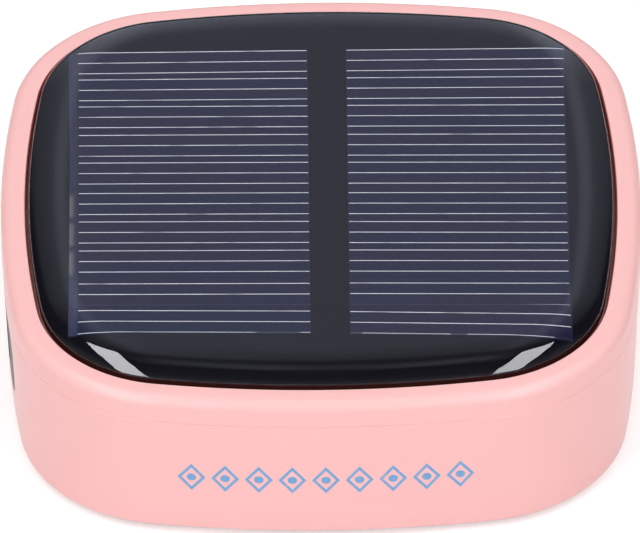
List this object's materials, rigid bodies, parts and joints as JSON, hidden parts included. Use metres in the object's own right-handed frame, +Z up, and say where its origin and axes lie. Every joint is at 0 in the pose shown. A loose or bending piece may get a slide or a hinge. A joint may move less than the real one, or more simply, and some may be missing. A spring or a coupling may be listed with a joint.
{
  "type": "uv sterilizer",
  "caption": "Square pocket UV sterilizer with bulged pink walls, a clear domed solar panel for a top, a push button and charging socket on one wall, and a lamp window underneath.",
  "frame": {"origin": "on the table under the middle of the base", "axes": "+Z up, -Y out of the printed front wall, -X out of the wall with the controls"},
  "size_m": [0.075, 0.075, 0.0224],
  "materials": {
    "pink_plastic": "gloss",
    "dark_plastic": "fine texture",
    "button_grey": "satin",
    "clear_coat": "poured gloss",
    "cell_blue": "smooth",
    "silver_print": "fine matte",
    "panel_black": "satin",
    "tape_white": "matte",
    "lead_red": "satin",
    "lead_black": "satin",
    "black_plastic": "matte",
    "steel_sheet": "bright",
    "clear_plastic": "clear",
    "led_white": "gloss",
    "board_green": "satin",
    "ferrite_grey": "matte",
    "ceramic_tan": "matte",
    "battery_silver": "foil",
    "lamp_ceramic": "satin",
    "reflector_white": "gloss",
    "window_clear": "clear",
    "rubber_dark": "matte"
  },
  "bodies": {
    "case": {"upper_case": "pink_plastic", "lower_case": "pink_plastic", "side_plate": "dark_plastic", "case_screws": "steel_sheet", "rubber_feet": "rubber_dark", "solar_dome": "clear_coat", "solar_cells": "cell_blue", "cell_grid_lines": "silver_print", "solar_backing_board": "panel_black", "panel_tape": "tape_white", "solar_lead_red": "lead_red", "solar_lead_black": "lead_black", "switch_body": "black_plastic", "switch_cover": "steel_sheet", "indicator_light_pipe": "clear_plastic", "indicator_led": "led_white", "usb_socket_shell": "steel_sheet", "usb_socket_tongue": "black_plastic", "main_board": "board_green", "board_screws": "steel_sheet", "controller_chip": "black_plastic", "charger_chip": "black_plastic", "boost_inductor": "ferrite_grey", "board_capacitors": "ceramic_tan", "board_resistors": "black_plastic", "battery_cell": "battery_silver", "battery_tape": "tape_white", "battery_lead_red": "lead_red", "battery_lead_black": "lead_black", "uvc_leds": "lamp_ceramic", "uva_leds": "lamp_ceramic", "lamp_reflector": "reflector_white", "lamp_window": "window_clear", "window_gasket": "rubber_dark"},
    "button": {"power_button": "button_grey", "switch_plunger": "black_plastic"}
  },
  "joints": [
    {"name": "button_press", "type": "slide", "parent": "case", "child": "button", "axis": [1, 0, 0], "range_m": [0, 0.0004], "stiffness_N_per_m": 2500}
  ]
}
